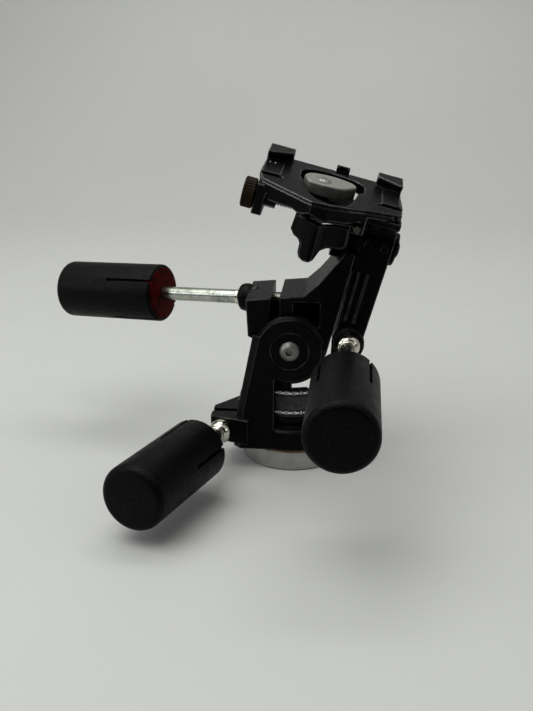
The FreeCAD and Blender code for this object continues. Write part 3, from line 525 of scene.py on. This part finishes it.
# Tilt arm: the casting clamped on the tilt shaft, with its split jaws for the tilt handle, the
# nut in its pocket, and the roll shaft at its top
soften("tilt_arm", "tilt_arm_casting", 0.0004, 8, casting, "tilt_arm", "black_casting")


def dark_steel(name):
    material, shader, wire, place = start_finish(name)
    soft, edge = rounded_edge(wire, 0.0003)
    oil = place.noise(350.0, 4.0).ramp(0.35, 0.7)
    bright = edge.ramp(0.05, 0.35) * place.noise(700.0).ramp(0.4, 0.6)
    tone = oil.blend(colour(0.035, 0.035, 0.036), colour(0.06, 0.058, 0.055))
    tone = bright.blend(tone, colour(0.3, 0.3, 0.29))
    coat(shader, {
        "Base Color": tone,
        "Metallic": 1.0,
        "Roughness": oil * 0.15 + 0.3,
        "Normal": wire.bump(place.noise(2200.0), 0.08, 0.00005, soft)})
    return material


blacked = dark_steel("blacked_steel")
dress(blacked, "pan_seat", "tilt_seat", "roll_seat")

roll_place = tuple(joints["roll"]["pos_m"])
roll_axis = tuple(joints["roll"]["axis"])
dress(bare_metal(
    "roll_steel", (0.45, 0.45, 0.43), (0.28, 0.28, 0.26), 0.28, roll_place, roll_axis),
    "roll_shaft", "tilt_nut")

# Platform arm: the casting that rolls on that shaft, with its ribbed column down to the roll
# handle and the flange under the platform
soften("platform_arm", "platform_arm_casting", 0.0004, 8, casting, "platform", "black_casting")

# Platform: a black casting, the deck with its two claws for the camera plate and the recess for
# the cam, held by four screws from below on the flange of the platform arm
deck = black_paint("deck_paint", 0.5, 0.0010, 0.5, 0.95, 0.05)
deck_place = Vector(joints["lever_turn"]["pos_m"])
deck_up = Vector(joints["lever_turn"]["axis"]).normalized()
deck_right = Vector(joints["lock_screw_turn"]["axis"]).normalized()
deck_back = deck_up.cross(deck_right).normalized()
lever_top = max((v.co - deck_place).dot(deck_up) for v in nodes["lever"].data.vertices)
skirt_drop = 0.0014
skirt_face = (0.0255, 0.0275)
skirt_left = (-0.0125, -0.0085)
skirt_right = (0.0060, 0.0100)
skirt_foot = (0.0005, 0.0012)
brim_low = 0.0018
brim_rise = 0.0019
brim_start = 0.0007
brim_l = 0.0099


def fade(value, low, high):
    share = min(1.0, max(0.0, (value - low) / (high - low)))
    return share * share * (3.0 - 2.0 * share)


# Lets the front skirt hang lower. It counts across from the cam's axis, so the stretch that
# hangs lower lies to the left of the lever's crest and not over it
def carve_skirt(co):
    local = co - deck_place
    across = local.dot(deck_right)
    above = local.dot(deck_up) - lever_top
    brim = brim_low + brim_rise * min(1.0, max(0.0, (-across - brim_start) / brim_l))
    share = fade(-local.dot(deck_back), *skirt_face) * fade(across, *skirt_left)
    over_brim = fade(above, brim + 0.0002, brim + 0.0018)
    share *= (1.0 - fade(across, *skirt_right)) * (1.0 - over_brim)
    return co - deck_up * (share * fade(above, *skirt_foot) * skirt_drop)


soften("platform_plate", "platform_plate_casting", 0.0004, 9, deck, "platform", "black_casting",
       carve_skirt)


def new_outline(name, points, closed):
    bpy.ops.object.select_all(action="DESELECT")
    bpy.ops.mesh.primitive_plane_add(size=1.0)
    piece = bpy.context.object
    piece.name = name
    shape = bmesh.new()
    line = [shape.verts.new((r, 0.0, z)) for r, z in points]
    for a, b in zip(line, line[1:] + line[:1] if closed else line[1:]):
        shape.edges.new((a, b))
    shape.to_mesh(piece.data)
    shape.free()
    return piece


def turned_piece(name, points, closed=False, steps=96):
    piece = new_outline(name, points, closed)
    bpy.ops.object.mode_set(mode="EDIT")
    bpy.ops.mesh.select_all(action="SELECT")
    bpy.ops.mesh.spin(steps=steps, angle=2 * math.pi, center=(0, 0, 0), axis=(0, 0, 1))
    clean_up()
    bpy.ops.object.mode_set(mode="OBJECT")
    return piece


def put_along(piece, origin, axis, turn=0.0, shift=0.0):
    lean = Vector((0.0, 0.0, 1.0)).rotation_difference(Vector(axis)).to_matrix().to_4x4()
    spin = Matrix.Rotation(turn, 4, "Z")
    piece.data.transform(
        Matrix.Translation(origin) @ lean @ Matrix.Translation((0, 0, shift)) @ spin)


def arc(centre_r, centre_z, radius, start, end, n):
    points = []
    for k in range(n + 1):
        a = math.radians(start + (end - start) * k / n)
        points.append((centre_r + radius * math.cos(a), centre_z + radius * math.sin(a)))
    return points


def spring_wire(name):
    material, shader, wire, place = start_finish(name)
    oil = place.noise(600.0, 3.0).ramp(0.35, 0.7)
    coat(shader, {
        "Base Color": oil.blend(colour(0.42, 0.41, 0.38), colour(0.22, 0.21, 0.19)),
        "Metallic": 1.0,
        "Roughness": oil * 0.15 + 0.25})
    return material


# Ledge rivets: two small round steel heads that shine on the left ledge of the platform,
# behind its groove. They are placed from a point on the cam's axis, 12 mm below its joint
cam_foot = deck_place - 0.012 * Vector(joints["lever_turn"]["axis"])
cam_left = 0.008
cam_front = 0.001
ledge_height = 0.0269
rivet_r = 0.00055


def ledge_rivet(name, across, back):
    rivet = turned_piece(name, [(0.0, 0.0)] + arc(0.0, 0.0, rivet_r, 0.0, 90.0, 5), steps=20)
    place = cam_foot + deck_up * ledge_height
    place = place + deck_right * (across + cam_left) + deck_back * (back + cam_front)
    put_along(rivet, place, deck_up)
    hand_over(rivet, spring_wire(name + "_steel"), "platform", "steel")


ledge_rivet("ledge_rivet_left", -0.0395, 0.0125)
ledge_rivet("ledge_rivet_right", -0.0365, 0.0125)


# Cam: bare grey-green casting on the same shaft as the lever, dull from handling, with arcs
# scratched by the camera plates and a small dimple over its shaft. Light and shade are painted
# on it: its top lighter than its sides, a dark ring of shade on the top, a glint round the
# dimple with shade in its hollow, and dark blotches on the sides that are partly dirt and
# partly shade
def cam_metal():
    material, shader, wire, place = start_finish("cam_metal")
    soft, edge = rounded_edge(wire, 0.0006)
    local = place.less(tuple(cam_foot))
    across = local.dot(tuple(deck_right))
    back = local.dot(tuple(deck_back))
    radius = wire.math("SQRT", across * across + back * back)
    up = wire.node("NewGeometry", {}, {}, "Normal").dot(tuple(deck_up)).ramp(0.7, 0.95)
    wobble = place.noise(120.0, 2.0) * 0.0016
    arcs = wire.math("SINE", (radius + wobble) * 5200.0).ramp(0.55, 0.98)
    broken = place.noise(260.0, 3.0).ramp(0.5, 0.62)
    scuff = arcs * broken * up
    tone = place.noise(180.0, 5.0, 0.65).ramp(0.35, 0.7)
    skin = tone.blend(colour(0.085, 0.088, 0.076), colour(0.13, 0.134, 0.118))
    # Painted light: faces turned up are painted lighter than the sides
    skin = (up * 0.9).blend(skin, colour(0.215, 0.220, 0.195))
    skin = (scuff * 0.7).blend(skin, colour(0.055, 0.055, 0.050))
    # Painted shade: a dark ring segment on one side of the top, standing for the shade of a pocket
    pocket_shade = radius.ramp(0.0032, 0.0040) * (1.0 - radius.ramp(0.0052, 0.0060))
    pocket_shade = pocket_shade * across.ramp(-0.004, 0.001)
    skin = (pocket_shade * up * 0.7).blend(skin, colour(0.03, 0.03, 0.027))
    # Painted glint: a pale ring round the dimple over the shaft
    dimple_glint = 1.0 - radius.ramp(0.0012, 0.0020)
    skin = (dimple_glint * up).blend(skin, colour(0.75, 0.75, 0.72))
    # Painted shade in the hollow of the dimple
    hollow_shade = 1.0 - radius.ramp(0.0005, 0.0010)
    skin = (hollow_shade * up).blend(skin, colour(0.02, 0.02, 0.018))
    # Dark blotches on the sides, partly dirt and partly painted shade
    dark_blotches = place.noise(420.0, 4.0, 0.7).ramp(0.55, 0.8) * (1.0 - up)
    skin = (dark_blotches * 0.8).blend(skin, colour(0.03, 0.03, 0.025))
    skin = (edge.ramp(0.04, 0.3) * 0.5).blend(skin, colour(0.26, 0.26, 0.24))
    coat(shader, {
        "Base Color": skin,
        "Metallic": 0.45,
        "Roughness": tone * 0.12 + 0.38 - scuff * 0.1,
        "Normal": wire.bump(place.noise(1400.0, 3.0), 0.12, 0.0001, soft)})
    return material


soften("cam", "cam_casting", 0.00025, 5, cam_metal(), "cam_lever", "cam_alloy")
dress(bare_metal(
    "cam_shaft_steel", (0.4, 0.4, 0.38), (0.25, 0.25, 0.23), 0.3, cam_foot, deck_up), "cam_shaft")

# Release lever: a black casting on the cam's shaft, held by a screw from below, with a finger
# at the front that is pushed to let the camera plate go
lever_face = (-0.0304, -0.0262)
ear_span = (0.0028, 0.0095)
ear_fall = 0.0030
panel_span = (0.0052, 0.0085)
panel_fall = 0.0024
finger_middle = 0.0012
finger_half = 0.0050
finger_crown = 0.0007
rise_middle = -0.003
rise_span = (0.001, 0.009)
rise_most = 0.0019
rise_face = (-0.0310, -0.0275)


# Leaves the finger standing proud: the ear falls away to its left and the panel to its right.
# The rise was meant for the crest alone, but its height counts from cam_foot and that of
# lever_top from the joint, so it lifts the hub and the arm as well
def carve_lever(co):
    local = co - cam_foot
    across = local.dot(deck_right)
    back = local.dot(deck_back)
    front = 1.0 - fade(back, *lever_face)
    ear = fade(-across, *ear_span) * ear_fall
    panel = fade(across, *panel_span) * panel_fall
    crown = min(1.0, ((across - finger_middle) / finger_half) ** 2) * finger_crown
    rise = rise_most * (1.0 - fade(abs(across - rise_middle), *rise_span))
    rise = rise * (0.35 + 0.65 * fade(back, *rise_face))
    crest = fade(local.dot(deck_up), lever_top - 0.0029, lever_top - 0.0022)
    return co + deck_back * (front * (ear + panel + crown)) + deck_up * (crest * rise)


lever_paint = black_paint("lever_paint", 0.2, 0.0012, 0.2, 0.9, 0.12)
soften("lever", "lever_casting", 0.0003, 8, lever_paint, "cam_lever", "black_casting", carve_lever)

# Springs: coils of drawn steel wire, one round the neck of the lever's hub, one round the
# safety pin inside its housing, and one under the trigger
dress(spring_wire("drawn_wire"), "lever_spring", "pin_spring", "trigger_spring")

# Lock screw: a brass thumb screw through the left flange of the platform and its nut, brown
# with age and bright only on the crests of its knurling
lock_place = Vector(joints["lock_screw_turn"]["pos_m"])


def aged_brass():
    material, shader, wire, place = start_finish("aged_brass")
    soft, edge = rounded_edge(wire, 0.0003)
    patina = place.noise(320.0, 5.0, 0.65).ramp(0.3, 0.65)
    bright = edge.ramp(0.12, 0.5) * place.noise(500.0).ramp(0.4, 0.65)
    skin = patina.blend(colour(0.007, 0.0035, 0.0012), colour(0.017, 0.0085, 0.0026))
    skin = (bright * 0.5).blend(skin, colour(0.20, 0.115, 0.035))
    coat(shader, {
        "Base Color": skin,
        "Metallic": bright * 0.4 + 0.5,
        "Roughness": 0.56 - bright * 0.2,
        "Specular IOR Level": 0.15,
        "Normal": wire.bump(place.noise(1800.0, 3.0), 0.15, 0.0001, soft)})
    return material


brass = aged_brass()


def threaded_rod(name, root, crest, pitch, length, steps=36):
    tooth = [(root, 0.0), (root, 0.14), (crest, 0.46), (crest, 0.6), (root, 0.92), (root, 1.0)]
    piece = new_outline(name, [(r, z * pitch) for r, z in tooth], False)
    turns = piece.modifiers.new("turns", "SCREW")
    turns.axis = "Z"
    turns.angle = 2 * math.pi
    turns.steps = turns.render_steps = steps
    turns.screw_offset = pitch
    turns.iterations = math.ceil(length / pitch) + 2
    turns.use_merge_vertices = True
    turns.merge_threshold = 1e-6
    bpy.ops.object.modifier_apply(modifier="turns")
    bpy.ops.object.mode_set(mode="EDIT")
    clean_up(1e-6)
    bpy.ops.mesh.select_all(action="SELECT")
    bpy.ops.mesh.bisect(
        plane_co=(0, 0, pitch), plane_no=(0, 0, 1), use_fill=True, clear_inner=True,
        threshold=1e-7)
    bpy.ops.mesh.select_all(action="SELECT")
    bpy.ops.mesh.bisect(
        plane_co=(0, 0, pitch + length), plane_no=(0, 0, 1), use_fill=True, clear_outer=True,
        threshold=1e-7)
    clean_up(1e-8)
    bpy.ops.object.mode_set(mode="OBJECT")
    piece.data.transform(Matrix.Translation((0.0, 0.0, -pitch)))
    return piece


def add_to(piece, other):
    union = piece.modifiers.new("union", "BOOLEAN")
    union.object = other
    union.operation = "UNION"
    union.solver = "EXACT"
    bpy.ops.object.select_all(action="DESELECT")
    bpy.context.view_layer.objects.active = piece
    bpy.ops.object.modifier_apply(modifier="union")
    bpy.data.objects.remove(other)


knurl_n = 30
knurl_deep = 0.0005
head_r = 0.0086
head_from = -0.0089
head_to = -0.0023
head_round = 0.0007
head_chamfer = 0.0005
hollow_deep = 0.0006
hollow_r = 0.0052
rim_r = 0.0056
screw_tip = 0.0216
screw_root_r = 0.00225
screw_crest_r = 0.003
screw_pitch = 0.00142
shank_sunk = 0.0006
head = turned_piece("lock_screw_brass", [
    (0.0, head_from + hollow_deep), (hollow_r, head_from + hollow_deep), (rim_r, head_from),
    (head_r - head_round, head_from), (head_r, head_from + 0.0006), (head_r, head_from + 0.0009),
    (head_r, head_from + 0.0012), (head_r, head_to - 0.0009), (head_r, head_to - head_chamfer),
    (head_r - head_chamfer, head_to), (0.0, head_to)], steps=knurl_n * 6)
for vertex in head.data.vertices:
    flat = math.hypot(vertex.co.x, vertex.co.y)
    if flat > head_r - 1e-5 and head_from + 0.001 < vertex.co.z < head_to - 0.0006:
        turn = math.atan2(vertex.co.y, vertex.co.x) * knurl_n
        keep = 1.0 - knurl_deep / head_r * (0.5 + 0.5 * math.cos(turn))
        vertex.co.x *= keep
        vertex.co.y *= keep
shank = threaded_rod(
    "lock_shank", screw_root_r, screw_crest_r, screw_pitch, screw_tip - head_to + shank_sunk)
shank.data.transform(Matrix.Translation((0.0, 0.0, head_to - shank_sunk)))
add_to(head, shank)
put_along(head, lock_place, deck_right)
hand_over(head, brass, "lock_screw", "brass", "lock_screw")

# Safety pin and trigger: a plated steel plunger beside the lever, and a blacked block on the
# back edge
pin_axis = joints["safety_pin_press"]["axis"]
pin_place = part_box("safety_pin")[0]
dress(bare_metal(
    "pin_steel", (0.10, 0.10, 0.085), (0.05, 0.05, 0.042), 0.4, pin_place, pin_axis), "safety_pin")
dress(dark_cap, "trigger")

# Handles: a plated steel bar with its ball collar, and a black grip with a red plug at its
# inner end, three alike
grip_r = 0.018


def grip_plastic(name):
    material, shader, wire, place = start_finish(name)
    soft, edge = rounded_edge(wire, 0.0006)
    leather = place.cells(900.0, "SMOOTH_F1").ramp(0.1, 0.8)
    fine = place.noise(2600.0, 3.0)
    drag = place.noise(140.0, 4.0, 0.6)
    tone = drag.ramp(0.3, 0.7).blend(
        colour(0.0006, 0.0006, 0.0007), colour(0.0016, 0.0016, 0.0017))
    rub = edge.ramp(0.05, 0.35) * drag.ramp(0.35, 0.6)
    tone = (rub * 0.3).blend(tone, colour(0.03, 0.03, 0.029))
    coat(shader, {
        "Base Color": tone,
        "Roughness": drag.ramp(0.3, 0.7, 0.40, 0.52),
        "Specular IOR Level": 0.05,
        "Coat Weight": leather.ramp(0.55, 0.95) * 0.06 + rub * 0.25 + 0.03,
        "Coat Roughness": 0.34,
        "Normal": wire.bump(leather * 0.7 + fine * 0.3, 0.8, 0.0003, soft)})
    return material


def red_plastic(name):
    material, shader, wire, place = start_finish(name)
    dark_blotches = place.noise(200.0, 4.0).ramp(0.35, 0.7)
    coat(shader, {
        "Base Color": dark_blotches.blend(colour(0.070, 0.0012, 0.0014), colour(0.018, 0.0012, 0.0012)),
        "Roughness": dark_blotches * 0.15 + 0.45,
        "Specular IOR Level": 0.02,
        "Normal": wire.bump(place.noise(1500.0), 0.06, 0.0001)})
    return material


red = red_plastic("red_plug_plastic")
bar_r = 0.00425
bar_thread_r = 0.004
bar_pitch = 0.00125
bar_root_r = 0.00325
bar_in = 0.0355
bar_start = 0.0002
bar_out = 0.0915
bar_chamfer = 0.0006
thread_over = 0.0006
ball_r = 0.0072
neck_r = 0.0048
collar_out = 0.0071
grip_l = 0.0708
grip_inner_round = 0.0016
grip_outer_round = 0.0040
bore_room = 0.00005
bore_l = 0.059
end_mark_r = 0.0009
end_mark_deep = 0.0004
slit_n = 4
slit_centre = (0.0173, 0, 0.0155)
slit_size = (0.0034, 0.002, 0.033)
slit_round = 0.00099
plug_r = 0.0161
plug_t = 0.005
plug_round = 0.0013


def choose_edges(piece, test):
    bpy.ops.mesh.select_mode(type="EDGE")
    bpy.ops.mesh.select_all(action="DESELECT")
    shape = bmesh.from_edit_mesh(piece.data)
    for edge in shape.edges:
        edge.select = test(edge)
    shape.select_flush_mode()
    bmesh.update_edit_mesh(piece.data)


def choose_faces(piece, test):
    bpy.ops.mesh.select_mode(type="FACE")
    bpy.ops.mesh.select_all(action="DESELECT")
    shape = bmesh.from_edit_mesh(piece.data)
    for face in shape.faces:
        face.select = test(face)
    shape.select_flush_mode()
    bmesh.update_edit_mesh(piece.data)


def level(z):
    return lambda part: all(abs(vertex.co.z - z) < 1e-5 for vertex in part.verts)


def sink(piece, z, inset, depth):
    choose_faces(piece, level(z))
    bpy.ops.mesh.inset(thickness=inset)
    bpy.ops.mesh.extrude_region_move(TRANSFORM_OT_translate={"value": (0, 0, depth)})


def slit_end(edge):
    a, b = edge.verts
    return min(a.co.z, b.co.z) > slit_centre[2] and abs(a.co.x - b.co.x) > slit_size[0] / 2


def model_grip(name):
    bpy.ops.object.select_all(action="DESELECT")
    bpy.ops.mesh.primitive_cylinder_add(
        vertices=96, radius=grip_r, depth=grip_l, location=(0, 0, grip_l / 2))
    grip = bpy.context.object
    grip.name = name
    bpy.ops.object.transform_apply(location=True, rotation=True, scale=True)
    bpy.ops.object.mode_set(mode="EDIT")
    choose_edges(grip, level(0.0))
    bpy.ops.mesh.bevel(offset=grip_inner_round, segments=5, affect="EDGES")
    choose_edges(grip, level(grip_l))
    bpy.ops.mesh.bevel(offset=grip_outer_round, segments=9, affect="EDGES")
    sink(grip, 0.0, grip_r - grip_inner_round - plug_r, plug_t)
    sink(grip, plug_t, plug_r - bar_r - bore_room, bore_l)
    sink(grip, grip_l, grip_r - grip_outer_round - end_mark_r, -end_mark_deep)
    bpy.ops.object.mode_set(mode="OBJECT")
    cutters = []
    for k in range(slit_n):
        bpy.ops.object.select_all(action="DESELECT")
        bpy.ops.mesh.primitive_cube_add(size=1.0, location=slit_centre)
        cutter = bpy.context.object
        cutter.scale = slit_size
        bpy.ops.object.transform_apply(location=True, rotation=True, scale=True)
        bpy.ops.object.mode_set(mode="EDIT")
        choose_edges(cutter, slit_end)
        bpy.ops.mesh.bevel(offset=slit_round, segments=6, affect="EDGES")
        bpy.ops.object.mode_set(mode="OBJECT")
        cutter.data.transform(Matrix.Rotation(2 * math.pi * k / slit_n, 4, "Z"))
        cutters.append(cutter)
    bpy.ops.object.select_all(action="DESELECT")
    for cutter in cutters:
        cutter.select_set(True)
    bpy.context.view_layer.objects.active = cutters[0]
    bpy.ops.object.join()
    slits = grip.modifiers.new("slits", "BOOLEAN")
    slits.object = cutters[0]
    slits.operation = "DIFFERENCE"
    slits.solver = "EXACT"
    bpy.ops.object.select_all(action="DESELECT")
    bpy.context.view_layer.objects.active = grip
    bpy.ops.object.modifier_apply(modifier="slits")
    bpy.data.objects.remove(cutters[0])
    return grip


first_grip = model_grip("grip_pattern")
for name, start, slit_turn in (
        ("pan", 0.029, -3.0), ("tilt", 0.0595, 18.0), ("roll", 0.0595, 44.0)):
    joint = joints[name + "_handle_turn"]
    origin = Vector(joint["pos_m"])
    axis = Vector(joint["axis"]).normalized()
    steel = bare_metal(
        name + "_bar_steel", (0.42, 0.43, 0.38), (0.20, 0.215, 0.18), 0.20, origin, axis,
        0.0003, 0.12)
    bar = turned_piece(name + "_bar_rod", [
        (0.0, bar_start), (bar_r, bar_start), (bar_r, bar_out - bar_chamfer),
        (bar_r - bar_chamfer, bar_out), (0.0, bar_out)], steps=64)
    thread = threaded_rod(
        name + "_bar_thread", bar_root_r, bar_thread_r, bar_pitch, bar_in + thread_over)
    thread.data.transform(Matrix.Translation((0.0, 0.0, -bar_in)))
    add_to(bar, thread)
    put_along(bar, origin, axis)
    hand_over(bar, steel, name + "_rod", "steel", name + "_bar")
    nickel = bare_metal(
        name + "_collar_plate", (0.60, 0.58, 0.50), (0.56, 0.54, 0.46), 0.08, origin, axis,
        0.0003, 0.02)
    collar = turned_piece(
        name + "_collar_ball",
        [(bar_thread_r, -0.005)] + arc(0.0, 0.0, ball_r, -43.98, 38.68, 26)
        + [(0.0051, 0.0047), (neck_r, 0.0050), (neck_r, 0.0067), (0.0044, collar_out),
           (bar_r, collar_out), (bar_r, bar_start), (bar_thread_r, 0.0)], closed=True)
    put_along(collar, origin, axis)
    hand_over(collar, nickel, name + "_rod", "bright_steel", name + "_collar")
    grip = first_grip.copy()
    grip.data = first_grip.data.copy()
    grip.name = name + "_grip_shell"
    bpy.context.scene.collection.objects.link(grip)
    put_along(grip, origin, axis, math.radians(slit_turn), start)
    hand_over(grip, grip_plastic(name + "_grip_plastic"), name + "_grip", "grip_plastic",
              name + "_grip", smooth=40.0)
    plug = turned_piece(
        name + "_plug_cap",
        [(bar_r + bore_room, plug_t), (bar_r + bore_room, 0.0), (bar_r + 0.0004, -0.0005)]
        + arc(plug_r - plug_round, 0.0008, plug_round, -90.0, 0.0, 6) + [(plug_r, plug_t)],
        closed=True)
    put_along(plug, origin, axis, 0.0, start)
    hand_over(plug, red, name + "_grip", "red_plastic", name + "_plug", smooth=40.0)
bpy.data.objects.remove(first_grip)
